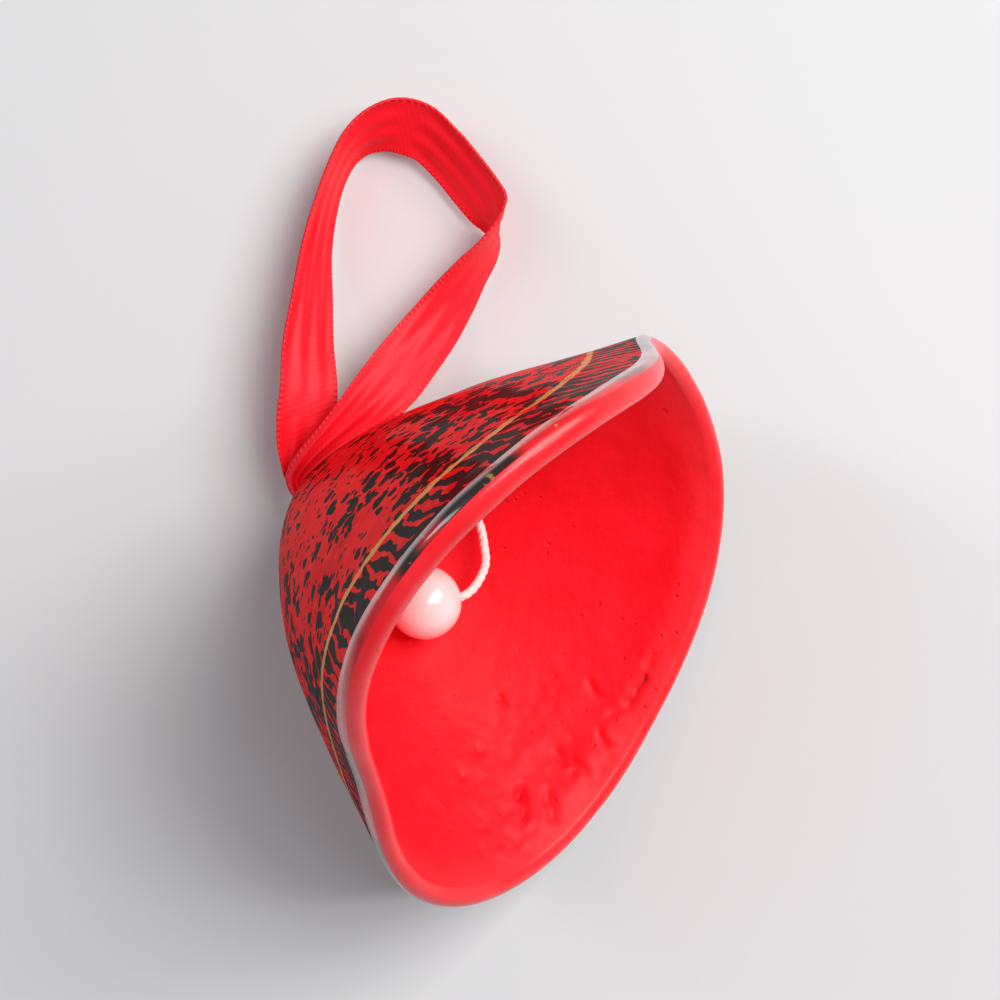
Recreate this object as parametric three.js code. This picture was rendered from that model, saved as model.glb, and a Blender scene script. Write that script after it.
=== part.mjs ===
// A papier-mache christmas bell lying on its side, with its satin hanging ribbon and bead clapper.
// Millimetres, +Z up. The table is z = 0 and the origin is under the middle of the bell.
import * as THREE from 'three';

// Bell shell, in its own frame: the mouth is at height 0 and the crown is up.
const MOUTH_RADIUS = 29.2;
const BELL_HEIGHT = 34.4;
const CROWN_RADIUS = 9;
const SHOULDER_SHARPNESS = 5;
const WAVE_FADE = 1.5; // how fast the hand-made waves of the rim die out towards the crown
const CROWN_OFFSET = [1.8, -7.4]; // the crown sits off the mouth's centre
const WALL = 2.3;
const CROWN_HOLE_RADIUS = 1.9;
const RIM_BULGES = [
  { lobes: 2, size: 2.7, crestDegrees: -74 },
  { lobes: 3, size: 2.8, crestDegrees: -27 },
];
const RIM_WAVES = [
  { lobes: 1, size: 1.8, crestDegrees: -88 },
  { lobes: 2, size: 4.1, crestDegrees: 20 },
  { lobes: 3, size: 1.6, crestDegrees: 64 },
  { lobes: 4, size: 0.6, crestDegrees: -4 },
];

// How the bell lies: the mouth looks up by TILT, the crown points to HEADING, seen from above.
const TILT = 27;
const HEADING = 151.1;
const SET_DOWN = 0.6; // the belly is pressed flat by this much where the damp paper was set down

// Mesh fineness
const SHELL_SIDES = 60;
const OUTER_STEPS = 13;
const INNER_STEPS = 12;
const LIP_STEPS = 4;

// Satin ribbon
const RIBBON_WIDTH = 6.4;
const RIBBON_THICKNESS = 0.4;
const RIBBON_STEPS = 64;
const TAIL_RADIUS = 1.2;
const RIBBON_KNOT_RADIUS = 2.6;
const RIBBON_KNOT_DEPTH = 5.1; // inside the crown, along the bell's axis

// Clapper
const STRING_DIAMETER = 0.9;
const STRING_STEPS = 30;
const STRING_KNOT_RADIUS = 1.1;
const BEAD_RADIUS = 3.8;
const BEAD_BORE_RADIUS = 0.75;
const STOP_KNOT_RADIUS = 1.1;
const GAP = 0.3;

// Each ribbon station: the middle of the ribbon, then the direction of its upper edge,
// then its half width there, which is less than the full one where it is gathered at the crown.
const FULL = RIBBON_WIDTH / 2;
const RIBBON_ROUTE = [
  [-21.6, 14.2, 4.4, -0.9, -0.1, 0.3, 0.9],
  [-21.8, 15.6, 4.6, -0.93, -0.05, 0.35, 1.5],
  [-21.3, 17.8, 5.2, -0.93, -0.06, 0.4, 2.5],
  [-20.7, 20.8, 5.9, -0.92, -0.08, 0.4, FULL],
  [-20.4, 24.4, 6.2, -0.86, -0.12, 0.5, FULL],
  [-20.5, 29.0, 5.6, -0.73, -0.14, 0.66, FULL],
  [-20.3, 33.7, 4.9, -0.57, -0.18, 0.8, FULL],
  [-19.9, 38.9, 4.2, -0.4, -0.18, 0.9, FULL],
  [-19.1, 43.6, 3.8, -0.27, -0.12, 0.95, FULL],
  [-18.0, 47.1, 3.7, -0.2, 0.0, 0.98, FULL],
  [-16.4, 50.1, 3.7, -0.08, 0.3, 0.95, FULL],
  [-14.3, 51.9, 3.6, 0.05, 0.54, 0.84, FULL],
  [-11.6, 52.6, 3.4, 0.17, 0.72, 0.67, FULL],
  [-8.7, 51.8, 3.2, 0.26, 0.75, 0.61, FULL],
  [-6.2, 49.5, 3.1, 0.35, 0.68, 0.65, FULL],
  [-4.1, 47.0, 3.1, 0.42, 0.6, 0.68, FULL],
  [-2.4, 44.8, 3.2, 0.42, 0.56, 0.71, FULL],
  [-1.2, 43.1, 3.3, 0.32, 0.5, 0.8, FULL],
  [-0.8, 41.4, 3.6, 0.04, 0.3, 0.95, FULL],
  [-1.7, 39.3, 3.7, -0.2, 0.16, 0.97, FULL],
  [-3.3, 37.0, 3.7, -0.4, 0.18, 0.9, FULL],
  [-5.3, 34.0, 3.9, -0.6, 0.3, 0.74, FULL],
  [-7.5, 30.8, 4.8, -0.75, 0.4, 0.53, FULL],
  [-9.8, 27.6, 6.2, -0.83, 0.48, 0.28, FULL],
  [-11.9, 24.6, 7.8, -0.86, 0.48, 0.16, FULL],
  [-14.3, 21.8, 8.7, -0.88, 0.44, 0.16, 2.9],
  [-17.2, 19.2, 8.5, -0.88, 0.4, 0.26, 2.1],
  [-20.2, 16.7, 7.4, -0.88, 0.2, 0.42, 1.4],
  [-21.7, 14.9, 6.3, -0.9, 0.0, 0.4, 0.9],
];

// The clapper's string: from its knot in the crown, slack along the wall, into the bead.
const STRING_ROUTE = [
  [-12.9, 10.4, 9.2],
  [-11.1, 12.1, 8.1],
  [-8.6, 13.5, 6.8],
  [-6.1, 13.7, 5.7],
  [-4.0, 12.4, 4.8],
  [-2.7, 10.2, 4.3],
  [-2.2, 7.8, 4.3],
  [-2.1, 6.1, 4.6],
  [-2.7, 4.5, 5.3],
  [-3.7, 3.2, 6.0],
  [-5.2, 2.5, 6.4],
  [-8.3, 2.1, 6.6],
  [-12.6, 1.6, 6.6],
];
const BEAD_CENTRE = [-8.3, 2.1, 6.6];

const radians = THREE.MathUtils.degToRad;
const vector = (point) => new THREE.Vector3(point[0], point[1], point[2]);

function finish(colour, roughness, metalness = 0) {
  return new THREE.MeshStandardMaterial({ color: colour, roughness, metalness });
}

function part(name, geometry, material) {
  const mesh = new THREE.Mesh(geometry, material);
  mesh.name = name;
  return mesh;
}

// A closed skin from rings of points. Each ring has the same number of points.
// The rings join into a ring of rings, or are capped at both ends.
function skinFromRings(rings, capped) {
  const sides = rings[0].length;
  const positions = rings.flat().flatMap((point) => point.toArray());
  const triangles = [];
  const joints = capped ? rings.length - 1 : rings.length;
  for (let ring = 0; ring < joints; ring += 1) {
    const here = ring * sides;
    const next = ((ring + 1) % rings.length) * sides;
    for (let side = 0; side < sides; side += 1) {
      const across = (side + 1) % sides;
      triangles.push(here + side, here + across, next + across);
      triangles.push(here + side, next + across, next + side);
    }
  }
  if (capped) {
    const last = (rings.length - 1) * sides;
    for (let side = 1; side < sides - 1; side += 1) {
      triangles.push(0, side + 1, side);
      triangles.push(last, last + side, last + side + 1);
    }
  }
  const geometry = new THREE.BufferGeometry();
  geometry.setAttribute('position', new THREE.Float32BufferAttribute(positions, 3));
  geometry.setIndex(triangles);
  return geometry;
}

// ---- bell shell ----

function waveSum(waves, angle) {
  return waves.reduce(
    (sum, wave) => sum + wave.size * Math.cos(wave.lobes * (angle - radians(wave.crestDegrees))),
    0,
  );
}

// The unwaved outer profile: part way up the bell, from 0 at the mouth to 1 at the crown.
function outerProfile(level) {
  const cone = CROWN_RADIUS + (MOUTH_RADIUS - CROWN_RADIUS) * (1 - level);
  const radius = cone * Math.sqrt(1 - level ** SHOULDER_SHARPNESS);
  return new THREE.Vector2(radius, level * BELL_HEIGHT);
}

// The same point moved in by the wall's thickness, square to the profile.
function innerProfile(level) {
  const step = 0.0005;
  const below = outerProfile(Math.max(0, level - step));
  const above = outerProfile(Math.min(1, level + step));
  const along = above.sub(below).normalize();
  const inward = new THREE.Vector2(-along.y, along.x);
  return outerProfile(level).addScaledVector(inward, WALL);
}

// Levels from the mouth to the edge of the crown's hole, close together on the round shoulder.
function profileLevels(steps) {
  const holeEdge = CROWN_HOLE_RADIUS / (CROWN_RADIUS * Math.sqrt(SHOULDER_SHARPNESS));
  return Array.from({ length: steps + 1 }, (_, index) => {
    const left = 1 - (index / steps) * (1 - holeEdge);
    return 1 - left * left;
  });
}

// The wall's section as a closed loop: up the outside, down the inside, round the lip.
function wallSection() {
  const section = [];
  for (const level of profileLevels(OUTER_STEPS)) {
    section.push({ level, point: outerProfile(level) });
  }
  for (const level of profileLevels(INNER_STEPS).reverse()) {
    const point = innerProfile(level);
    point.x = Math.max(point.x, CROWN_HOLE_RADIUS);
    section.push({ level, point });
  }
  const outer = outerProfile(0);
  const inner = innerProfile(0);
  const middle = outer.clone().add(inner).multiplyScalar(0.5);
  const across = inner.clone().sub(middle);
  const outward = new THREE.Vector2(across.y, -across.x);
  if (outward.y > 0) outward.negate();
  for (let index = 1; index <= LIP_STEPS; index += 1) {
    const turn = (Math.PI * index) / (LIP_STEPS + 1);
    const point = middle.clone();
    point.addScaledVector(across, Math.cos(turn));
    point.addScaledVector(outward, Math.sin(turn));
    section.push({ level: 0, point });
  }
  return section;
}

function shellPoint({ level, point }, angle) {
  const fade = (1 - level) ** WAVE_FADE;
  const radius = point.x * (1 + (waveSum(RIM_BULGES, angle) * fade) / MOUTH_RADIUS);
  const height = point.y + waveSum(RIM_WAVES, angle) * fade;
  return new THREE.Vector3(
    radius * Math.cos(angle) + CROWN_OFFSET[0] * (1 - fade),
    radius * Math.sin(angle) + CROWN_OFFSET[1] * (1 - fade),
    height,
  );
}

function bellShell() {
  const rings = wallSection().map((section) =>
    Array.from({ length: SHELL_SIDES }, (_, side) =>
      shellPoint(section, (2 * Math.PI * side) / SHELL_SIDES),
    ),
  );
  return skinFromRings(rings, false);
}

// The bell laid down with its middle over the origin, its lowest point SET_DOWN below the table.
function layBellDown(geometry) {
  const laid = new THREE.Group();
  laid.rotation.order = 'ZXY';
  laid.rotation.set(radians(90 + TILT), 0, radians(HEADING + 90));
  laid.updateMatrix();
  const box = new THREE.Box3().setFromBufferAttribute(
    geometry.clone().applyMatrix4(laid.matrix).getAttribute('position'),
  );
  const middle = box.getCenter(new THREE.Vector3());
  laid.position.set(-middle.x, -middle.y, -box.min.z - SET_DOWN);
  laid.updateMatrix();
  return laid;
}

// Everything that would be under the table is pressed flat onto it.
function pressFlat(geometry, laid) {
  const back = laid.matrix.clone().invert();
  const positions = geometry.getAttribute('position');
  const point = new THREE.Vector3();
  for (let index = 0; index < positions.count; index += 1) {
    point.fromBufferAttribute(positions, index).applyMatrix4(laid.matrix);
    if (point.z < 0) {
      point.setZ(0).applyMatrix4(back);
      positions.setXYZ(index, point.x, point.y, point.z);
    }
  }
}

// ---- ribbon ----

// A flat strip along the stations, smooth in its middle line, its edge direction and its width.
function ribbonStrip() {
  const middles = new THREE.CatmullRomCurve3(RIBBON_ROUTE.map((station) => vector(station)));
  const edges = new THREE.CatmullRomCurve3(
    RIBBON_ROUTE.map((station) => vector(station.slice(3, 6)).setLength(station[6])),
  );
  const rings = [];
  for (let index = 0; index <= RIBBON_STEPS; index += 1) {
    const along = index / RIBBON_STEPS;
    const middle = middles.getPoint(along);
    const run = middles.getTangent(along);
    const edge = edges.getPoint(along);
    edge.addScaledVector(run, -edge.dot(run));
    const face = new THREE.Vector3().crossVectors(run, edge).setLength(RIBBON_THICKNESS / 2);
    rings.push([
      middle.clone().add(edge).sub(face),
      middle.clone().add(edge).add(face),
      middle.clone().sub(edge).add(face),
      middle.clone().sub(edge).sub(face),
    ]);
  }
  return skinFromRings(rings, true);
}

// The two gathered ends of the ribbon, from the knot out through the hole.
function ribbonTails(crown) {
  const inside = RIBBON_KNOT_DEPTH - RIBBON_KNOT_RADIUS - GAP;
  const outside = 1.1;
  const profile = [
    new THREE.Vector2(0, -inside),
    new THREE.Vector2(TAIL_RADIUS, -inside),
    new THREE.Vector2(TAIL_RADIUS, 0.4),
    new THREE.Vector2(0.5 * TAIL_RADIUS, outside),
    new THREE.Vector2(0, outside),
  ];
  const geometry = new THREE.LatheGeometry(profile, 12);
  geometry.rotateX(Math.PI / 2);
  geometry.translate(crown.x, crown.y, crown.z);
  return geometry;
}

function lump(radius, squash) {
  const geometry = new THREE.SphereGeometry(radius, 16, 10);
  geometry.scale(1, 1, squash);
  return geometry;
}

// ---- clapper ----

function clapperString() {
  const route = new THREE.CatmullRomCurve3(STRING_ROUTE.map(vector));
  const section = new THREE.Shape();
  section.absarc(0, 0, STRING_DIAMETER / 2, 0, 2 * Math.PI, false);
  return new THREE.ExtrudeGeometry(section, {
    steps: STRING_STEPS,
    curveSegments: 4,
    bevelEnabled: false,
    extrudePath: route,
  });
}

// A drilled bead: the section is a round cheek closed by the straight wall of the bore.
function drilledBead() {
  const edge = Math.acos(BEAD_BORE_RADIUS / BEAD_RADIUS);
  const profile = [];
  const steps = 12;
  for (let index = 0; index <= steps; index += 1) {
    const turn = -edge + (2 * edge * index) / steps;
    profile.push(new THREE.Vector2(BEAD_RADIUS * Math.cos(turn), BEAD_RADIUS * Math.sin(turn)));
  }
  profile.push(profile[0].clone());
  return new THREE.LatheGeometry(profile, 24);
}

// ---- assembly ----

const ornament = new THREE.Group();

const shellGeometry = bellShell();
const bell = layBellDown(shellGeometry);
pressFlat(shellGeometry, bell);
bell.add(part('bell_shell', shellGeometry, finish(0xb5121b, 0.25)));
const crown = new THREE.Vector3(CROWN_OFFSET[0], CROWN_OFFSET[1], BELL_HEIGHT);
bell.add(part('ribbon_tails', ribbonTails(crown), finish(0xe01020, 0.45)));
const ribbonKnot = part('ribbon_knot', lump(RIBBON_KNOT_RADIUS, 0.9), finish(0xe01020, 0.45));
ribbonKnot.position.set(crown.x, crown.y, crown.z - RIBBON_KNOT_DEPTH);
bell.add(ribbonKnot);
const stringKnot = part('string_knot', lump(STRING_KNOT_RADIUS, 1), finish(0xf2efe9, 0.8));
const knotDrop = RIBBON_KNOT_DEPTH + 0.9 * RIBBON_KNOT_RADIUS + GAP + STRING_KNOT_RADIUS;
stringKnot.position.set(crown.x, crown.y, crown.z - knotDrop);
bell.add(stringKnot);
ornament.add(bell);

ornament.add(part('ribbon_loop', ribbonStrip(), finish(0xe8101c, 0.4)));
ornament.add(part('clapper_string', clapperString(), finish(0xf4f1ea, 0.85)));

const threadLine = vector(STRING_ROUTE.at(-1)).sub(vector(STRING_ROUTE.at(-3))).normalize();
const bead = part('pearl_bead', drilledBead(), finish(0xf0ece6, 0.2));
bead.position.copy(vector(BEAD_CENTRE));
bead.quaternion.setFromUnitVectors(new THREE.Vector3(0, 1, 0), threadLine);
ornament.add(bead);

const stopKnot = part('bead_stop_knot', lump(STOP_KNOT_RADIUS, 1), finish(0xf4f1ea, 0.85));
stopKnot.position.copy(vector(STRING_ROUTE.at(-1)));
stopKnot.position.addScaledVector(threadLine, STOP_KNOT_RADIUS + GAP);
ornament.add(stopKnot);

export default ornament;
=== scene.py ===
import math

import bpy
import numpy as np
from mathutils import Matrix, Vector, noise


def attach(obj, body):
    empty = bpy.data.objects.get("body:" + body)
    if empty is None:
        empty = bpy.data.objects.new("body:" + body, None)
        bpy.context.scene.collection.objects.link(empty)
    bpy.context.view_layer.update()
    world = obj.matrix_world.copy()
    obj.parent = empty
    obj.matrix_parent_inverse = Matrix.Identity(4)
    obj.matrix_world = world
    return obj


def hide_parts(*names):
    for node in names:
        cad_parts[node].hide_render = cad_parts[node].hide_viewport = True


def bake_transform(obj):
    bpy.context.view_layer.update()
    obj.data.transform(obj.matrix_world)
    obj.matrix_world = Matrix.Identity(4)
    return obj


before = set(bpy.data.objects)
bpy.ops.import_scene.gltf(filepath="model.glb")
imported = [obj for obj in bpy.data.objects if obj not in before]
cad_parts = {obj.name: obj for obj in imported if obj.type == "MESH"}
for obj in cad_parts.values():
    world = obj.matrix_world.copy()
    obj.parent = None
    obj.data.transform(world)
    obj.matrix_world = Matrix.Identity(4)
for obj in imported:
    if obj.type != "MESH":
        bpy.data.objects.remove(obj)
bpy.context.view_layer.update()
MM = 0.001

# ---------------------------------------------------------------- camera

TARGET = Vector((-0.00058, 0.01302, -0.0006))
CAMERA_HEIGHT = math.radians(87)
CAMERA_DISTANCE = 0.18214

camera_data = bpy.data.cameras.new("camera")
camera_data.lens = 61.2
camera_data.sensor_width = 36
camera_data.clip_start = 0.005
camera = bpy.data.objects.new("camera", camera_data)
back = Vector((0, -math.cos(CAMERA_HEIGHT), math.sin(CAMERA_HEIGHT)))
camera.location = TARGET + back * CAMERA_DISTANCE
camera.rotation_euler = (math.pi / 2 - CAMERA_HEIGHT, 0, 0)
bpy.context.collection.objects.link(camera)
bpy.context.scene.camera = camera
bpy.context.scene.view_settings.view_transform = "Standard"


# ---------------------------------------------------------------- meshes

def new_object(name, vertices, faces, materials, smooth=True):
    """vertices in millimetres, in the row frame."""
    mesh = bpy.data.meshes.new(name)
    mesh.from_pydata((np.asarray(vertices) * MM).tolist(), [], faces)
    for material in materials:
        mesh.materials.append(material)
    if smooth:
        mesh.shade_smooth()
    thing = bpy.data.objects.new(name, mesh)
    bpy.context.collection.objects.link(thing)
    return thing


def loft_faces(rings, sides, closed_rings=False, capped=False):
    """Quads over a grid of rings; the rings themselves are closed loops."""
    faces = []
    count = rings if closed_rings else rings - 1
    for ring in range(count):
        here = ring * sides
        there = ((ring + 1) % rings) * sides
        for side in range(sides):
            across = (side + 1) % sides
            faces.append((here + side, here + across, there + across, there + side))
    if capped:
        faces.append(tuple(range(sides - 1, -1, -1)))
        last = (rings - 1) * sides
        faces.append(tuple(range(last, last + sides)))
    return faces


def set_uv(thing, uv):
    """uv holds one pair per vertex; a face across the seam is unwrapped."""
    layer = thing.data.uv_layers.new(name="surface")
    for polygon in thing.data.polygons:
        us = [uv[thing.data.loops[loop].vertex_index][0] for loop in polygon.loop_indices]
        wrap = max(us) - min(us) > 0.5
        for loop, u in zip(polygon.loop_indices, us):
            v = uv[thing.data.loops[loop].vertex_index][1]
            layer.data[loop].uv = (u + 1 if wrap and u < 0.5 else u, v)


def smooth_line(points, count):
    """A Catmull-Rom spline through the points, at even steps of length."""
    points = np.asarray(points, float)
    fine = []
    padded = np.vstack([2 * points[0] - points[1], points, 2 * points[-1] - points[-2]])
    for index in range(1, len(padded) - 2):
        a, b, c, d = padded[index - 1:index + 3]
        for step in np.linspace(0, 1, 24, endpoint=False):
            fine.append(0.5 * (2 * b + (c - a) * step + (2 * a - 5 * b + 4 * c - d) * step ** 2
                               + (3 * b - a - 3 * c + d) * step ** 3))
    fine.append(padded[-2])
    fine = np.array(fine)
    along = np.r_[0, np.cumsum(np.linalg.norm(np.diff(fine[:, :3], axis=0), axis=1))]
    even = np.linspace(0, along[-1], count)
    return np.array([np.interp(even, along, column) for column in fine.T]).T, along[-1]


def unit(vectors):
    return vectors / np.linalg.norm(vectors, axis=-1, keepdims=True)


# ---------------------------------------------------------------- node helpers

class Nodes:
    def __init__(self, name):
        self.material = bpy.data.materials.new(name)
        self.material.use_nodes = True
        self.tree = self.material.node_tree
        self.shader = self.tree.nodes["Principled BSDF"]
        self.place = self.add("ShaderNodeTexCoord").outputs["Object"]

    def add(self, kind, inputs=None, **settings):
        node = self.tree.nodes.new(kind)
        for key, value in settings.items():
            setattr(node, key, value)
        for key, value in (inputs or {}).items():
            self.feed(node.inputs[key], value)
        return node

    def feed(self, socket, value):
        if isinstance(value, bpy.types.NodeSocket):
            self.tree.links.new(value, socket)
        else:
            socket.default_value = value

    def set(self, **values):
        for key, value in values.items():
            self.feed(self.shader.inputs[key.replace("_", " ")], value)

    def math(self, operation, a, b=0.0):
        return self.add("ShaderNodeMath", {0: a, 1: b}, operation=operation).outputs[0]

    def band(self, value, low, high):
        """0 under low and 1 over high, smooth between them; low may be over high."""
        inputs = {"Value": value, "From Min": low, "From Max": high}
        node = self.add("ShaderNodeMapRange", inputs, interpolation_type="SMOOTHSTEP")
        return node.outputs[0]

    def mix(self, factor, a, b):
        node = self.add("ShaderNodeMix", {0: factor, 6: a, 7: b}, data_type="RGBA")
        return node.outputs[2]

    def noise(self, scale, detail=2.0, vector=None, distortion=0.0):
        inputs = {"Vector": vector or self.place, "Scale": scale, "Detail": detail,
                  "Distortion": distortion}
        return self.add("ShaderNodeTexNoise", inputs).outputs[0]

    def cells(self, scale, vector=None):
        inputs = {"Vector": vector or self.place, "Scale": scale}
        return self.add("ShaderNodeTexVoronoi", inputs).outputs["Distance"]

    def mapped(self, rotation=(0, 0, 0), scale=(1, 1, 1), vector=None):
        inputs = {"Vector": vector or self.place, "Rotation": rotation, "Scale": scale}
        return self.add("ShaderNodeMapping", inputs).outputs[0]

    def warped(self, amount, scale, vector=None):
        vector = vector or self.place
        colour = self.add("ShaderNodeTexNoise", {"Vector": vector, "Scale": scale,
                                                 "Detail": 1.0}).outputs[1]
        centred = self.add("ShaderNodeVectorMath", {0: colour, 1: (0.5, 0.5, 0.5)},
                           operation="SUBTRACT").outputs[0]
        scaled = self.add("ShaderNodeVectorMath", {0: centred, "Scale": amount},
                          operation="SCALE").outputs[0]
        return self.add("ShaderNodeVectorMath", {0: vector, 1: scaled}, operation="ADD").outputs[0]

    def uv(self):
        node = self.add("ShaderNodeUVMap", uv_map="surface")
        split = self.add("ShaderNodeSeparateXYZ", {0: node.outputs[0]})
        return split.outputs[0], split.outputs[1]

    def relief(self, height, distance, strength=1.0, below=None):
        inputs = {"Height": height, "Distance": distance, "Strength": strength}
        if below is not None:
            inputs["Normal"] = below
        return self.add("ShaderNodeBump", inputs).outputs[0]


# ---------------------------------------------------------------- bell: shape

# The same shell as in the CAD, in its own frame: the mouth at height 0, the crown up.
MOUTH_RADIUS = 29.2
BELL_HEIGHT = 34.4
CROWN_RADIUS = 9
SHOULDER_SHARPNESS = 5
WAVE_FADE = 1.5
CROWN_OFFSET = (1.8, -7.4)
WALL = 2.3
CROWN_HOLE_RADIUS = 1.9
RIM_BULGES = ((2, 2.7, -74), (3, 2.8, -27))
RIM_WAVES = ((1, 1.8, -88), (2, 4.1, 20), (3, 1.6, 64), (4, 0.6, -4))
TILT = 27
HEADING = 151.1
CROWN_MIDDLE = np.array([-20.5206, 12.9249, 5.8975])  # of the crown, in the row frame

SHELL_SIDES = 480
OUTER_STEPS = 96
INNER_STEPS = 170
LIP_STEPS = 22

TURN = np.array(Matrix.Rotation(math.radians(HEADING + 90), 3, "Z")
                @ Matrix.Rotation(math.radians(90 + TILT), 3, "X"))
AXIS = TURN[:, 2]


def to_row(points):
    """Bell frame to row frame."""
    crown = np.array([CROWN_OFFSET[0], CROWN_OFFSET[1], BELL_HEIGHT])
    return (np.asarray(points) - crown) @ TURN.T + CROWN_MIDDLE


def outer_profile(level):
    cone = CROWN_RADIUS + (MOUTH_RADIUS - CROWN_RADIUS) * (1 - level)
    return np.array([cone * math.sqrt(max(0, 1 - level ** SHOULDER_SHARPNESS)),
                     level * BELL_HEIGHT])


def inner_profile(level):
    step = 0.0005
    along = outer_profile(min(1, level + step)) - outer_profile(max(0, level - step))
    along /= np.linalg.norm(along)
    return outer_profile(level) + WALL * np.array([-along[1], along[0]])


def profile_levels(steps):
    hole_edge = CROWN_HOLE_RADIUS / (CROWN_RADIUS * math.sqrt(SHOULDER_SHARPNESS))
    left = 1 - np.arange(steps + 1) / steps * (1 - hole_edge)
    return 1 - left ** 2


def wave_sum(waves, angle):
    return sum(size * np.cos(lobes * (angle - math.radians(crest))) for lobes, size, crest in waves)


def wall_section():
    """The wall's closed section: up the outside, down the inside, round the lip."""
    section = [(level, outer_profile(level)) for level in profile_levels(OUTER_STEPS)]
    for level in profile_levels(INNER_STEPS)[::-1]:
        point = inner_profile(level)
        point[0] = max(point[0], CROWN_HOLE_RADIUS)
        section.append((level, point))
    outer, inner = outer_profile(0), inner_profile(0)
    middle = (outer + inner) / 2
    across = inner - middle
    outward = np.array([across[1], -across[0]])
    if outward[1] > 0:
        outward = -outward
    for index in range(1, LIP_STEPS + 1):
        turn = math.pi * index / (LIP_STEPS + 1)
        section.append((0.0, middle + across * math.cos(turn) + outward * math.sin(turn)))
    return section


def wave_noise(point, size, octaves=2):
    return noise.fractal(Vector(point) / size, 1.0, 2.0, octaves)


def segment_distance(points, start, end):
    start, end = np.array(start, float), np.array(end, float)
    run = end - start
    share = np.clip(((points - start) @ run) / (run @ run), 0, 1)
    return np.linalg.norm(points - start - share[:, None] * run, axis=1)


# Marks in the pulp inside the mouth: x, y of both ends, half width and depth before CRACK_DEPTH.
CRACK_DEPTH = 1.5
TEAR_DEPTH = 0.5
CREST_HEIGHT = 0.30
PULP_CRACKS = (
    ((1.6, -16.6), (2.0, -19.6), 0.26, 0.7),
    ((2.0, -19.6), (1.2, -21.4), 0.22, 0.4),
    ((14.6, -5.6), (12.8, -8.4), 0.42, 0.6),
    ((12.6, -8.9), (10.8, -9.4), 0.3, 0.35),
    ((5.2, -13.2), (6.2, -14.4), 0.4, 0.4),
    ((-0.6, -7.5), (-0.3, -8.2), 0.4, 0.25),
    ((-2.9, -12.6), (-2.3, -13.0), 0.35, 0.22),
    ((8.8, -6.0), (9.6, -7.2), 0.4, 0.3),
    ((4.2, -17.0), (4.8, -19.6), 0.4, 0.35),
    ((7.0, -14.0), (8.0, -15.2), 0.45, 0.3),
    ((15.5, -3.0), (14.8, -4.4), 0.35, 0.3),
    ((0.2, -21.0), (-1.4, -22.0), 0.35, 0.25),
    ((9.6, -11.0), (10.6, -12.4), 0.35, 0.3),
)


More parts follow.
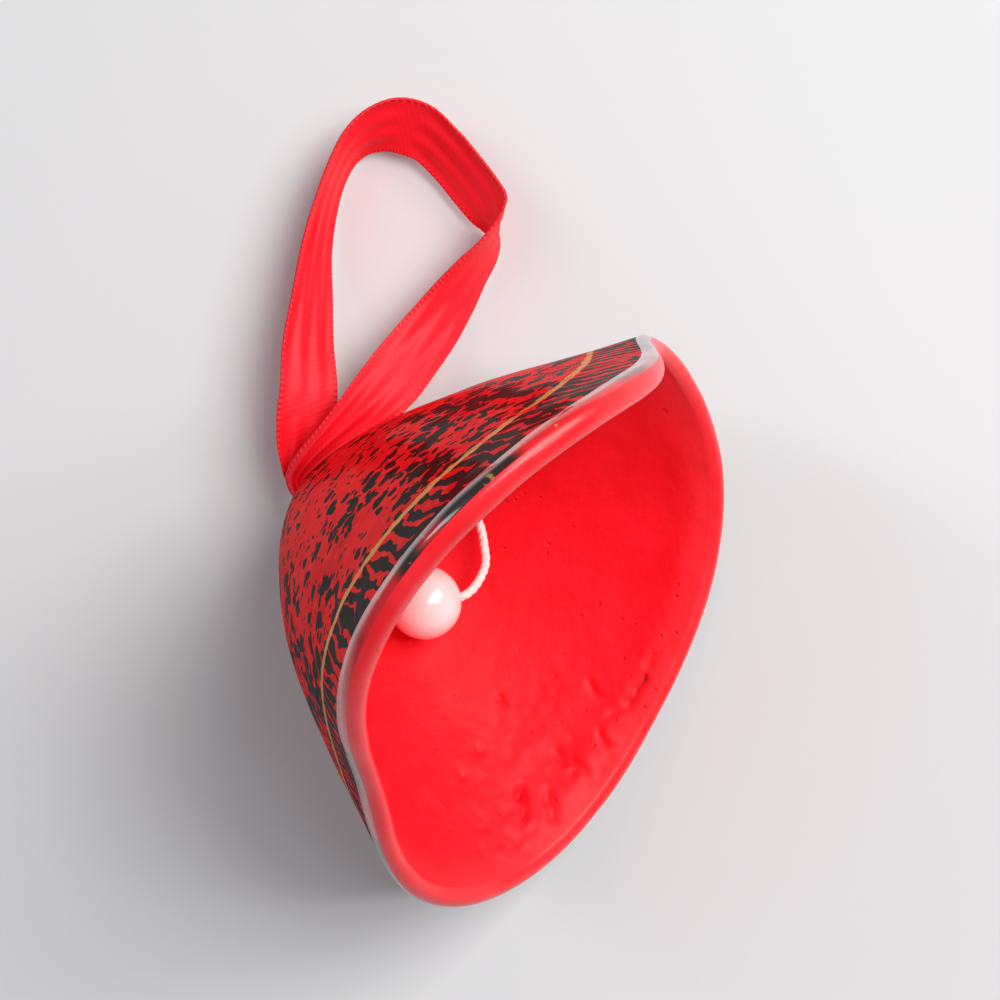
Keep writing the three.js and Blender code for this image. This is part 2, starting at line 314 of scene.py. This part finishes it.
def bell_mesh():
    section = wall_section()
    angle = 2 * np.pi * np.arange(SHELL_SIDES) / SHELL_SIDES
    rings = []
    for level, (radius, height) in section:
        fade = (1 - level) ** WAVE_FADE
        wide = radius * (1 + wave_sum(RIM_BULGES, angle) * fade / MOUTH_RADIUS)
        rings.append(np.stack([
            wide * np.cos(angle) + CROWN_OFFSET[0] * (1 - fade),
            wide * np.sin(angle) + CROWN_OFFSET[1] * (1 - fade),
            height + wave_sum(RIM_WAVES, angle) * fade,
        ], 1))
    grid = to_row(np.array(rings))

    round_step = np.roll(grid, -1, 1) - np.roll(grid, 1, 1)
    up_step = np.roll(grid, -1, 0) - np.roll(grid, 1, 0)
    normal = unit(np.cross(round_step, up_step))

    count = len(section)
    level = np.array([entry[0] for entry in section])[:, None]
    is_outer = (np.arange(count) <= OUTER_STEPS)[:, None]
    is_inner = ((np.arange(count) > OUTER_STEPS)
                & (np.arange(count) <= OUTER_STEPS + INNER_STEPS + 1))[:, None]
    hole = np.clip((0.94 - level) / 0.1, 0, 1)
    flat = grid.reshape(-1, 3)
    soft = np.array([wave_noise(point, 9.0) for point in flat]).reshape(grid.shape[:2])
    lumps = np.array([wave_noise(point + 40, 4.2, 3) for point in flat]).reshape(grid.shape[:2])
    grain = np.array([wave_noise(point + 90, 1.5, 2) for point in flat]).reshape(grid.shape[:2])

    # Rough pulp on the low side of the mouth; the clapper's side stays smooth.
    x, y, z = grid[..., 0], grid[..., 1], grid[..., 2]
    low = np.clip((22 - z) / 10, 0, 1)
    towards_rim = np.clip((-3.5 - y + 0.55 * x) / 7, 0, 1) * np.clip(level / 0.05, 0, 1)
    rough = low * towards_rim * is_inner
    away = np.clip((np.hypot(x + 7, y - 5) - 10) / 4, 0, 1)
    push = 0.10 * soft * is_outer * hole
    push += is_inner * hole * away * (0.08 * soft + 0.03 * lumps)
    push += rough * (0.12 * lumps + 0.07 * grain)
    tears = np.clip(1 - np.abs(lumps + 0.15) / 0.11, 0, 1) * np.clip((soft + 0.1) / 0.3, 0, 1)
    push -= rough * TEAR_DEPTH * tears * np.clip(0.6 + grain, 0, 1)
    crest = np.exp(-((level - 0.07) / 0.05) ** 2) * np.clip((14 - z) / 8, 0, 1)
    push += is_inner * away * crest * CREST_HEIGHT
    lip = (level == 0) * (~is_inner)
    push += lip * (0.07 * soft + 0.03 * lumps)
    # depth of the tears and cracks, kept to paint shade into them in red_pulp_paint
    dip = 0.6 * rough * tears * np.clip(0.6 + grain, 0, 1)
    shaken = grid[..., :2] + 0.55 * np.stack([grain, lumps], -1)
    for start, end, half, depth in PULP_CRACKS:
        near = segment_distance(shaken.reshape(-1, 2), start, end).reshape(x.shape)
        ragged = np.clip(0.75 + 0.6 * grain + 0.4 * lumps, 0.2, 1.2)
        dent = is_inner * low * CRACK_DEPTH * depth * ragged * np.exp(-(near / half) ** 2)
        dip = np.maximum(dip, dent)
        push -= dent
    grid = grid + normal * push[..., None]
    grid[..., 2] = np.maximum(grid[..., 2], 0)

    faces = loft_faces(count, SHELL_SIDES, closed_rings=True)
    along = np.zeros(count)
    for index in range(1, OUTER_STEPS + 1):
        along[index] = along[index - 1] + np.linalg.norm(section[index][1] - section[index - 1][1])
    for index in range(OUTER_STEPS + 1, OUTER_STEPS + INNER_STEPS + 2):
        along[index] = section[index][0] * BELL_HEIGHT
    for back_step in range(1, LIP_STEPS + 1):
        along[count - back_step] = -math.pi * WALL / 2 * back_step / (LIP_STEPS + 1)
    uv = np.zeros((count, SHELL_SIDES, 2))
    uv[..., 0] = np.arange(SHELL_SIDES) / SHELL_SIDES
    uv[..., 1] = along[:, None] / 50
    return grid.reshape(-1, 3), faces, uv.reshape(-1, 2), dip.ravel()


# ---------------------------------------------------------------- bell: paint

def painted_outside():
    n = Nodes("lacquered_painting")
    u, v = n.uv()
    down = n.math("MULTIPLY", v, 50.0)  # millimetres from the rim
    upright = tuple(Matrix(TURN.T.tolist()).to_euler())
    bell = n.mapped(rotation=upright)
    uneven = n.noise(60, 2)

    red = n.mix(n.band(n.noise(130, 3), 0.3, 0.7), (0.76, 0.003, 0.006, 1), (0.95, 0.006, 0.010, 1))
    red = n.mix(n.band(n.noise(700, 2), 0.5, 0.75), red, (0.93, 0.022, 0.014, 1))

    # radial brush strokes between the rim and the gold line, fused in places
    sway = n.math("MULTIPLY", n.math("SUBTRACT", n.noise(240, 2), 0.5), 1.9)
    turn = n.math("ADD", n.math("MULTIPLY", u, 112.0), sway)
    turn = n.math("ADD", turn, n.math("MULTIPLY", down, 0.10))
    off = n.math("ABSOLUTE", n.math("SUBTRACT", n.math("FRACT", turn), 0.5))
    wide = n.math("ADD", n.math("MULTIPLY", n.band(n.noise(95, 1), 0.36, 0.60), 0.32), 0.13)
    wide = n.math("MULTIPLY", wide, n.band(n.noise(420, 2), 0.2, 0.55))
    stroke = n.math("LESS_THAN", off, wide)
    patch = n.math("GREATER_THAN", n.noise(170, 2.5, distortion=0.4), 0.60)
    low = n.math("MAXIMUM", stroke, patch)
    edge = n.math("ADD", down, n.math("MULTIPLY", n.noise(500, 1), 1.1))
    low = n.math("MULTIPLY", low, n.math("GREATER_THAN", edge, 0.9))
    low = n.math("MULTIPLY", low, n.math("LESS_THAN", edge, 6.6))

    # dabs and sprigs over the rest, thicker in places
    warped = n.warped(0.0022, 420, n.mapped(scale=(1, 1, 0.62), vector=bell))
    thick = n.math("ADD", n.math("MULTIPLY", n.band(n.noise(85, 2), 0.35, 0.65), 0.24), 0.27)
    dab = n.math("LESS_THAN", n.cells(500, warped), thick)
    sprig = n.math("LESS_THAN", n.cells(860, n.warped(0.0016, 600, bell)),
                   n.math("MULTIPLY", thick, 0.86))
    high = n.math("MAXIMUM", dab, sprig)
    high = n.math("MULTIPLY", high, n.math("GREATER_THAN", edge, 7.1))

    # a few round dots
    dots = n.math("LESS_THAN", n.cells(150, bell), 0.13)
    dots = n.math("MULTIPLY", dots, n.math("GREATER_THAN", down, 1.5))

    # the dark edge line under the lip
    rim = n.math("MULTIPLY", n.band(down, -0.75, -0.6), n.band(edge, 0.35, 0.15))
    rim = n.math("MULTIPLY", rim, n.band(uneven, 0.40, 0.46))

    black = n.math("MAXIMUM", n.math("MAXIMUM", low, high), n.math("MAXIMUM", dots, rim))
    ink = n.mix(n.noise(900, 2), (0.003, 0.002, 0.002, 1), (0.016, 0.006, 0.004, 1))
    colour = n.mix(black, red, ink)

    # hand-drawn gold line parallel to the rim
    wander = n.math("MULTIPLY", n.math("SUBTRACT", n.noise(70, 1), 0.5), 1.0)
    from_line = n.math("ABSOLUTE", n.math("SUBTRACT", n.math("ADD", down, wander), 6.5))
    wear = n.math("MULTIPLY", n.noise(900, 2), 0.78)
    gold = n.math("LESS_THAN", from_line, wear)
    gold = n.math("MULTIPLY", gold, n.band(n.noise(420, 3), 0.2, 0.5))
    colour = n.mix(n.math("MULTIPLY", gold, 0.8), colour, (0.72, 0.36, 0.06, 1))

    n.set(Base_Color=colour, Roughness=n.math("ADD", n.math("MULTIPLY", black, -0.12), 0.38),
          Metallic=n.math("MULTIPLY", gold, 0.4))
    n.shader.inputs["Coat Weight"].default_value = 0.10
    n.shader.inputs["Coat Roughness"].default_value = 0.03
    n.shader.inputs["Coat IOR"].default_value = 1.35
    n.shader.inputs["IOR"].default_value = 1.05
    n.shader.inputs["Specular IOR Level"].default_value = 0.1
    paint = n.relief(n.math("ADD", n.math("MAXIMUM", black, gold), n.noise(1500, 2)), 0.00004, 0.5)
    n.feed(n.shader.inputs["Normal"], paint)
    peel = n.relief(n.noise(230, 2), 0.00025, 0.5)
    n.feed(n.shader.inputs["Coat Normal"], peel)
    return n.material


def painted_inside():
    n = Nodes("red_pulp_paint")
    brush = n.noise(140, 3, n.mapped(scale=(1, 1, 0.35)))
    red = n.mix(n.band(brush, 0.3, 0.7), (0.86, 0.003, 0.010, 1), (0.95, 0.006, 0.018, 1))
    speck = n.band(n.noise(1300, 3), 0.62, 0.8)
    red = n.mix(n.math("MULTIPLY", speck, 0.35), red, (0.97, 0.04, 0.045, 1))
    _, v = n.uv()
    near_lip = n.band(n.math("MULTIPLY", v, 50.0), 3.4, 0.2)
    red = n.mix(near_lip, red, (0.90, 0.016, 0.026, 1))
    # pits in the pulp: dented by a bump, with painted shade darkening each pit
    pit = n.band(n.cells(520, n.warped(0.001, 500)), 0.16, 0.02)
    pit = n.math("MULTIPLY", pit, n.band(n.noise(110, 2), 0.5, 0.58))
    red = n.mix(n.math("MULTIPLY", pit, 0.5), red, (0.40, 0.004, 0.006, 1))
    # painted shade: the tears and cracks are darkened more the deeper they dent
    dip = n.add("ShaderNodeAttribute", attribute_name="dip").outputs["Fac"]
    dip = n.math("MULTIPLY", dip, n.math("ADD", n.noise(700, 3), 0.5))
    red = n.mix(n.math("MULTIPLY", n.band(dip, 0.10, 0.7), 0.7), red, (0.50, 0.002, 0.007, 1))
    n.set(Base_Color=red, Roughness=n.math("ADD", n.math("MULTIPLY", n.noise(300, 2), 0.2), 0.52))
    n.shader.inputs["Coat Weight"].default_value = 0.05
    n.shader.inputs["Coat Roughness"].default_value = 0.3
    n.shader.inputs["Specular IOR Level"].default_value = 0.22
    fine = n.relief(n.noise(1600, 3), 0.00006, 0.55)
    pulp = n.relief(n.noise(330, 3), 0.00030, 0.6, fine)
    pulp = n.relief(n.noise(120, 2), 0.0009, 0.5, pulp)
    n.feed(n.shader.inputs["Normal"], n.relief(pit, -0.0002, 0.6, pulp))
    return n.material


def painted_lip():
    n = Nodes("red_lip_paint")
    tone = n.mix(n.band(n.noise(120, 2), 0.35, 0.65), (0.84, 0.008, 0.016, 1), (0.93, 0.02, 0.03, 1))
    chip = n.band(n.noise(900, 3), 0.68, 0.76)
    tone = n.mix(n.math("MULTIPLY", chip, 0.4), tone, (0.42, 0.01, 0.012, 1))
    n.set(Base_Color=tone, Roughness=n.math("ADD", n.math("MULTIPLY", n.noise(260, 2), 0.16), 0.26))
    n.shader.inputs["Coat Weight"].default_value = 0.25
    n.shader.inputs["Coat Roughness"].default_value = 0.2
    n.shader.inputs["Specular IOR Level"].default_value = 0.3
    fine = n.relief(n.noise(1400, 2), 0.00004, 0.5)
    n.feed(n.shader.inputs["Normal"], n.relief(n.noise(240, 2), 0.0002, 0.5, fine))
    return n.material


def lacquered_edge():
    """Where the outside's clear lacquer has run over the lip and pooled."""
    n = Nodes("pooled_lacquer")
    worn = n.band(n.noise(95, 2), 0.44, 0.56)
    colour = n.mix(worn, (0.62, 0.006, 0.010, 1), (0.02, 0.006, 0.005, 1))
    speck = n.band(n.noise(1000, 3), 0.66, 0.74)
    colour = n.mix(n.math("MULTIPLY", speck, 0.5), colour, (0.55, 0.30, 0.10, 1))
    n.set(Base_Color=colour, Roughness=n.math("ADD", n.math("MULTIPLY", n.noise(300, 2), 0.1), 0.2))
    n.shader.inputs["Coat Weight"].default_value = 1.0
    n.shader.inputs["Coat Roughness"].default_value = 0.03
    n.shader.inputs["Coat IOR"].default_value = 1.45
    fine = n.relief(n.noise(900, 2), 0.00003, 0.4)
    n.feed(n.shader.inputs["Normal"], fine)
    n.feed(n.shader.inputs["Coat Normal"], n.relief(n.noise(160, 2), 0.0003, 0.5))
    return n.material


# ---------------------------------------------------------------- soft and small materials

def satin():
    n = Nodes("red_satin")
    across, along = n.uv()  # millimetres across and along, over 10
    wide = n.math("MULTIPLY", across, 10.0)
    far = n.math("MULTIPLY", along, 10.0)
    slant = n.math("ADD", n.math("MULTIPLY", wide, 1.9), n.math("MULTIPLY", far, 4.2))
    twill = n.math("SINE", n.math("MULTIPLY", slant, 2.4))
    floats = n.math("SINE", n.math("MULTIPLY", wide, 34.0))
    selvage = n.band(n.math("ABSOLUTE", wide), 2.72, 2.9)
    tick = n.math("SINE", n.math("MULTIPLY", far, 10.6))
    cloud = n.band(n.noise(110, 2), 0.3, 0.7)
    body = n.mix(cloud, (0.88, 0.004, 0.014, 1), (0.96, 0.008, 0.024, 1))
    body = n.mix(n.math("MULTIPLY", n.band(twill, -0.2, 1.0), 0.10), body, (0.97, 0.04, 0.05, 1))
    edge = n.mix(n.band(tick, -0.4, 0.6), (0.78, 0.004, 0.014, 1), (0.94, 0.02, 0.03, 1))
    colour = n.mix(selvage, body, edge)
    n.set(Base_Color=colour)
    n.feed(n.shader.inputs["Roughness"], n.math("ADD", n.math("MULTIPLY", cloud, 0.08), 0.44))
    n.shader.inputs["Specular IOR Level"].default_value = 0.22
    n.shader.inputs["Sheen Weight"].default_value = 0.12
    n.shader.inputs["Sheen Roughness"].default_value = 0.35
    n.shader.inputs["Sheen Tint"].default_value = (1.0, 0.35, 0.32, 1)
    weave = n.relief(n.math("ADD", twill, n.math("MULTIPLY", floats, 0.2)), 0.000008, 0.5)
    n.feed(n.shader.inputs["Normal"], n.relief(n.math("MULTIPLY", selvage, tick), 0.00005, 0.6, weave))
    return n.material


def thread():
    n = Nodes("white_thread")
    tone = n.mix(n.noise(900, 3), (0.70, 0.66, 0.62, 1), (0.92, 0.90, 0.87, 1))
    fibres = n.noise(5200, 3, n.mapped(scale=(1, 0.25, 1)))
    tone = n.mix(n.math("MULTIPLY", n.band(fibres, 0.3, 0.6), 0.25), tone, (0.98, 0.96, 0.93, 1))
    n.set(Base_Color=tone, Roughness=n.math("ADD", n.math("MULTIPLY", fibres, 0.2), 0.6))
    n.shader.inputs["Sheen Weight"].default_value = 0.3
    n.shader.inputs["Subsurface Weight"].default_value = 0.15
    n.shader.inputs["Subsurface Radius"].default_value = (0.0006, 0.0004, 0.0003)
    n.feed(n.shader.inputs["Normal"], n.relief(fibres, 0.00006, 0.8))
    return n.material


def pearl():
    n = Nodes("pearl_coating")
    cloud = n.band(n.noise(260, 3), 0.3, 0.7)
    tone = n.mix(cloud, (0.80, 0.75, 0.71, 1), (0.90, 0.88, 0.86, 1))
    lustre = n.add("ShaderNodeLayerWeight", {"Blend": 0.35}).outputs["Facing"]
    tone = n.mix(n.math("MULTIPLY", lustre, 0.4), tone, (0.86, 0.80, 0.82, 1))
    n.set(Base_Color=tone, Roughness=n.math("ADD", n.math("MULTIPLY", n.noise(500, 2), 0.1), 0.16))
    n.shader.inputs["Coat Weight"].default_value = 0.8
    n.shader.inputs["Coat Roughness"].default_value = 0.06
    n.shader.inputs["Subsurface Weight"].default_value = 0.2
    n.shader.inputs["Subsurface Radius"].default_value = (0.002, 0.0012, 0.001)
    n.feed(n.shader.inputs["Normal"], n.relief(n.noise(700, 2), 0.00003, 0.35))
    return n.material


SATIN = satin()
THREAD = thread()
PEARL = pearl()

# ---------------------------------------------------------------- cords

FULL = 3.2
# Each station: the ribbon's middle, its edge direction and its half width, as in the CAD,
# with the two gathered ends carried on through the crown's hole to the knot.
RIBBON_ROUTE = [
    [-18.0, 11.2, 6.8, -0.48, -0.87, 0.0, 0.8],
    [-20.1, 12.4, 5.4, -0.48, -0.87, 0.0, 0.85],
    [-21.2, 13.3, 4.7, -0.75, -0.6, 0.2, 0.85],
    [-21.6, 14.2, 4.4, -0.9, -0.1, 0.3, 0.9],
    [-21.8, 15.6, 4.6, -0.93, -0.05, 0.35, 1.5],
    [-21.3, 17.8, 5.2, -0.93, -0.06, 0.4, 2.6],
    [-20.7, 20.8, 5.9, -0.92, -0.08, 0.4, FULL],
    [-20.4, 24.4, 6.2, -0.86, -0.12, 0.5, FULL],
    [-20.5, 29.0, 5.6, -0.73, -0.14, 0.66, FULL],
    [-20.3, 33.7, 4.9, -0.57, -0.18, 0.8, FULL],
    [-19.9, 38.9, 4.2, -0.4, -0.18, 0.9, FULL],
    [-19.1, 43.6, 3.8, -0.27, -0.12, 0.95, FULL],
    [-18.0, 47.1, 3.7, -0.2, 0.0, 0.98, FULL],
    [-16.4, 50.1, 3.7, -0.08, 0.3, 0.95, FULL],
    [-14.3, 51.9, 3.6, 0.05, 0.54, 0.84, FULL],
    [-11.6, 52.6, 3.4, 0.17, 0.72, 0.67, FULL],
    [-8.7, 51.8, 3.2, 0.26, 0.75, 0.61, FULL],
    [-6.2, 49.5, 3.1, 0.35, 0.68, 0.65, FULL],
    [-4.1, 47.0, 3.1, 0.42, 0.6, 0.68, FULL],
    [-2.4, 44.8, 3.2, 0.42, 0.56, 0.71, FULL],
    [-1.2, 43.1, 3.3, 0.32, 0.5, 0.8, FULL],
    [-0.8, 41.4, 3.6, 0.04, 0.3, 0.95, FULL],
    [-1.7, 39.3, 3.7, -0.2, 0.16, 0.97, FULL],
    [-3.3, 37.0, 3.7, -0.4, 0.18, 0.9, FULL],
    [-5.3, 34.0, 3.9, -0.6, 0.3, 0.74, FULL],
    [-7.5, 30.8, 4.8, -0.75, 0.4, 0.53, FULL],
    [-9.8, 27.6, 6.2, -0.83, 0.48, 0.28, FULL],
    [-11.9, 24.6, 7.8, -0.86, 0.48, 0.16, FULL],
    [-14.3, 21.8, 8.7, -0.88, 0.44, 0.16, 2.9],
    [-17.2, 19.2, 8.5, -0.88, 0.4, 0.26, 2.1],
    [-20.2, 16.7, 7.4, -0.88, 0.2, 0.42, 1.4],
    [-21.7, 14.9, 6.3, -0.9, 0.0, 0.4, 0.9],
    [-21.2, 13.5, 6.0, -0.75, -0.6, 0.2, 0.85],
    [-20.1, 12.9, 6.4, -0.48, -0.87, 0.0, 0.85],
    [-17.9, 11.7, 7.7, -0.48, -0.87, 0.0, 0.8],
]
STRING_ROUTE = [
    [-12.9, 10.4, 9.2],
    [-11.1, 12.1, 8.1],
    [-8.6, 13.5, 6.8],
    [-6.1, 13.7, 5.7],
    [-4.0, 12.4, 4.8],
    [-2.7, 10.2, 4.3],
    [-2.2, 7.8, 4.3],
    [-2.1, 6.1, 4.6],
    [-2.7, 4.5, 5.3],
    [-3.7, 3.2, 6.0],
    [-5.2, 2.5, 6.4],
    [-8.3, 2.1, 6.6],
    [-12.6, 1.6, 6.6],
]
BEAD_MIDDLE = np.array([-8.3, 2.1, 6.6])
STRING_KNOT_MIDDLE = CROWN_MIDDLE - AXIS * 8.84
RIBBON_KNOT_MIDDLE = CROWN_MIDDLE - AXIS * 5.1


def ribbon_mesh():
    """A thin closed strip: pleated where it is gathered, with a thicker ticked selvage."""
    stations = []
    for x, y, z, ex, ey, ez, half in RIBBON_ROUTE:
        edge = np.array([ex, ey, ez])
        stations.append([x, y, z, *(edge / np.linalg.norm(edge) * half)])
    line, length = smooth_line(stations, 560)
    middle, edge = line[:, :3], line[:, 3:]
    run = unit(np.gradient(middle, axis=0))
    edge = edge - (edge * run).sum(1)[:, None] * run
    half = np.linalg.norm(edge, axis=1)
    edge_way = edge / half[:, None]
    face = unit(np.cross(run, edge_way))
    columns = 26
    share = np.linspace(-1, 1, columns)
    share = np.sign(share) * (1 - (1 - np.abs(share)) ** 1.25)
    rings, uv = [], []
    along = np.linspace(0, length, len(middle))
    for index in range(len(middle)):
        spare = math.sqrt(max(0.0, FULL ** 2 - half[index] ** 2))
        fold = 0.13 * spare * np.cos(math.pi * 3 * (share + 1) / 2 * 2)
        ripple = 0.05 * math.sin(along[index] * 0.55) * share ** 2
        tick = 0.5 + 0.5 * math.sin(along[index] * 10.6)
        rim = np.clip((np.abs(share) - 0.9) / 0.06, 0, 1)
        thick = 0.13 + rim * (0.03 + 0.03 * tick)
        reach = share * half[index] * (1 + 0.012 * rim * (tick - 0.5))
        base = middle[index] + reach[:, None] * edge_way[index]
        base = base + (fold + ripple)[:, None] * face[index]
        front = base + thick[:, None] * face[index]
        rear = base - thick[:, None] * face[index]
        rings.append(np.vstack([front, rear[::-1]]))
        around = np.r_[share, share[::-1]] * FULL / 10
        uv.append(np.stack([around, np.full(2 * columns, along[index] / 10)], 1))
    vertices = np.vstack(rings)
    faces = loft_faces(len(rings), 2 * columns, capped=True)
    thing = new_object("satin_ribbon", vertices, faces, [SATIN])
    layer = thing.data.uv_layers.new(name="surface")
    flat_uv = np.vstack(uv)
    values = flat_uv[[loop.vertex_index for loop in thing.data.loops]]
    layer.data.foreach_set("uv", values.ravel())
    return thing, middle, length


def frames_along(middle):
    """A steady pair of directions square to a line, carried along it without twisting."""
    run = unit(np.gradient(middle, axis=0))
    first = unit(np.cross(run[0], [0.3, 0.2, 0.9]))
    ups = [first]
    for index in range(1, len(middle)):
        last = ups[-1] - (ups[-1] @ run[index]) * run[index]
        ups.append(last / np.linalg.norm(last))
    ups = np.array(ups)
    return run, ups, np.cross(run, ups)


def plied_tube(name, points, radius, pitch, material, count, plies=3, taper=0):
    """A twisted thread: a round tube whose section has a lobe for each ply."""
    middle, length = smooth_line(points, count)
    run, up, side = frames_along(middle)
    sides = 8 * plies
    turn = 2 * np.pi * np.arange(sides) / sides
    rings = []
    for index in range(count):
        phase = 2 * np.pi * (index / (count - 1)) * length / pitch
        lobe = radius * (0.80 + 0.20 * np.abs(np.cos(plies * (turn - phase) / 2)) ** 0.7)
        ends = min(index, count - 1 - index) / max(1, taper) if taper else 1
        lobe = lobe * min(1, 0.25 + 0.75 * ends)
        ring = middle[index] + (lobe * np.cos(turn))[:, None] * up[index]
        rings.append(ring + (lobe * np.sin(turn))[:, None] * side[index])
    faces = loft_faces(count, sides, capped=True)
    return new_object(name, np.vstack(rings), faces, [material]), middle, length


def knot_points(middle, size, way, lift=0.55, count=60, start=0.0):
    """A trefoil, tied about the direction way."""
    way = unit(np.asarray(way, float))
    first = unit(np.cross(way, [0.2, 0.5, 0.8]))
    second = np.cross(way, first)
    turn = np.linspace(start, start + 2 * np.pi, count)
    radial = 0.36 * (2 + np.cos(3 * turn)) * size
    return (middle + (radial * np.cos(2 * turn))[:, None] * first
            + (radial * np.sin(2 * turn))[:, None] * second
            + (lift * size * np.sin(3 * turn))[:, None] * way)


ribbon, ribbon_middle, ribbon_length = ribbon_mesh()
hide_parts("ribbon_loop", "ribbon_tails")

thread_way = unit(np.array(STRING_ROUTE[-1]) - np.array(STRING_ROUTE[-3]))
stop_middle = np.array(STRING_ROUTE[-1]) + thread_way * 1.4
# the thread is one with its two knots, so it starts and ends in the middle of them
tied_route = [STRING_KNOT_MIDDLE.tolist(), *STRING_ROUTE, stop_middle.tolist()]
string, string_middle, string_length = plied_tube(
    "clapper_thread", tied_route, 0.47, 2.4, THREAD, 320)
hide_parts("clapper_string")
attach(string, "clapper")


def tied_thread(name, middle, way, node, body):
    """A small overhand knot with one cut end; the other end is the thread itself."""
    loop, _, _ = plied_tube(name, knot_points(middle, 0.62, way), 0.42, 1.9, THREAD, 150)
    side = unit(np.cross(way, [0.1, 0.3, 0.9]))
    root = middle - side * 0.1
    tip = middle - side * 0.9 + np.asarray(way) * 0.25
    bend = (tip + root) / 2 + np.asarray(way) * 0.15
    end, _, _ = plied_tube(f"{name}_end", [root, bend, tip], 0.3, 1.4, THREAD, 24, taper=3)
    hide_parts(node)
    for piece in (loop, end):
        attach(piece, body)
    return [loop, end]


stop_knot = tied_thread("bead_knot", stop_middle, thread_way, "bead_stop_knot", "clapper")
tied_thread("string_tie", STRING_KNOT_MIDDLE, AXIS, "string_knot", "clapper_tie")


def pearl_mesh():
    """A drilled bead, a touch out of round."""
    radius, bore = 3.8, 0.75
    edge = math.acos(bore / radius)
    profile = []
    for turn in np.linspace(-edge, edge, 56):
        profile.append((radius * math.cos(turn), radius * math.sin(turn)))
    half = radius * math.sin(edge)
    for share in np.linspace(1, -1, 14)[1:-1]:
        profile.append((bore * 0.97, half * share))
    sides = 96
    turn = 2 * np.pi * np.arange(sides) / sides
    way = thread_way
    first = unit(np.cross(way, [0.0, 0.0, 1.0]))
    second = np.cross(way, first)
    rings = []
    for wide, high in profile:
        ring = BEAD_MIDDLE + high * way
        ring = ring + (wide * np.cos(turn))[:, None] * first
        rings.append(ring + (wide * np.sin(turn))[:, None] * second)
    vertices = np.vstack(rings)
    for index, vertex in enumerate(vertices):
        vertices[index] = vertex + (vertex - BEAD_MIDDLE) * 0.004 * wave_noise(vertex, 3.0)
    return new_object("pearl_clapper", vertices, loft_faces(len(rings), sides, closed_rings=True),
                      [PEARL])


bead = pearl_mesh()
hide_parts("pearl_bead")
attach(bead, "bead")

# the ribbon's own knot inside the crown: a flattened satin tube tied round itself
knot_line, knot_length = smooth_line(knot_points(RIBBON_KNOT_MIDDLE, 1.45, AXIS, lift=0.5), 200)
_, knot_up, knot_side = frames_along(knot_line)
knot_rings = []
for index in range(len(knot_line)):
    around = 2 * np.pi * np.arange(28) / 28
    crease = 1 + 0.10 * np.cos(6 * around + index * 0.06)
    knot_rings.append(knot_line[index] + (1.0 * crease * np.cos(around))[:, None] * knot_up[index]
                      + (0.78 * crease * np.sin(around))[:, None] * knot_side[index])
knot = new_object("ribbon_tie", np.vstack(knot_rings), loft_faces(200, 28, capped=True), [SATIN])
knot_uv = np.zeros((200, 28, 2))
knot_uv[..., 0] = 0.26 * np.cos(2 * np.pi * np.arange(28) / 28)
knot_uv[..., 1] = (np.linspace(0, knot_length, 200) / 10)[:, None]
knot_layer = knot.data.uv_layers.new(name="surface")
knot_values = knot_uv.reshape(-1, 2)[[loop.vertex_index for loop in knot.data.loops]]
knot_layer.data.foreach_set("uv", knot_values.ravel())
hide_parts("ribbon_knot")
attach(knot, "ribbon_neck")

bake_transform(ribbon)

# ---------------------------------------------------------------- bell: object

bell_vertices, bell_faces, bell_uv, bell_painted_shade_depth = bell_mesh()
bell = new_object("papier_mache_bell", bell_vertices, bell_faces,
                  [painted_outside(), painted_inside(), painted_lip(), lacquered_edge()])
set_uv(bell, bell_uv)
# the crack depth that red_pulp_paint turns into painted shade
painted_shade_depth_layer = bell.data.attributes.new("dip", "FLOAT", "POINT")
painted_shade_depth_layer.data.foreach_set("value", bell_painted_shade_depth)
OUTSIDE, INSIDE, LIP, POOLED = range(4)  # the bell's materials, in the order given above
POOLED_RINGS = LIP_STEPS // 3 - 1
ring_count = len(bell_vertices) // SHELL_SIDES
ring_material = np.full(ring_count, OUTSIDE, np.int32)
ring_material[OUTER_STEPS:OUTER_STEPS + INNER_STEPS + 1] = INSIDE
ring_material[OUTER_STEPS + INNER_STEPS + 1:] = LIP
ring_material[ring_count - POOLED_RINGS:] = POOLED
ring_material[0] = POOLED
bell.data.polygons.foreach_set("material_index", np.repeat(ring_material, SHELL_SIDES))
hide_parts("bell_shell")
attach(bell, "bell")

# ---------------------------------------------------------------- floor and light

floor_data = bpy.data.meshes.new("floor")
floor_data.from_pydata([(-2, -2, -0.00005), (2, -2, -0.00005), (2, 2, -0.00005), (-2, 2, -0.00005)],
                       [], [(0, 1, 2, 3)])
floor = bpy.data.objects.new("floor", floor_data)
bpy.context.collection.objects.link(floor)
floor_paint = Nodes("pale_floor")
floor_paint.set(Base_Color=(0.62, 0.62, 0.63, 1), Roughness=0.85)
floor_data.materials.append(floor_paint.material)

world = bpy.data.worlds.new("studio")
world.use_nodes = True
world.node_tree.nodes["Background"].inputs[0].default_value = (0.86, 0.90, 0.96, 1)
world.node_tree.nodes["Background"].inputs[1].default_value = 0.27
bpy.context.scene.world = world


def softbox(name, place, aim, size, power, colour=(1, 1, 1)):
    data = bpy.data.lights.new(name, "AREA")
    data.shape = "RECTANGLE"
    data.size, data.size_y = size
    data.energy = power
    data.color = colour
    lamp = bpy.data.objects.new(name, data)
    lamp.location = place
    lamp.rotation_euler = (Vector(place) - Vector(aim)).to_track_quat("Z", "Y").to_euler()
    bpy.context.collection.objects.link(lamp)


softbox("window", (0.30, 0.22, 0.42), (0, 0.01, 0.02), (0.30, 0.40), 3.1, (1.0, 0.97, 0.94))
softbox("window_bar", (0.20, 0.02, 0.36), (0, 0.01, 0.02), (0.035, 0.30), 0.5, (0.95, 0.98, 1.0))
softbox("left_card", (-0.36, 0.16, 0.40), (0, 0, 0.03), (0.10, 0.34), 0.6)
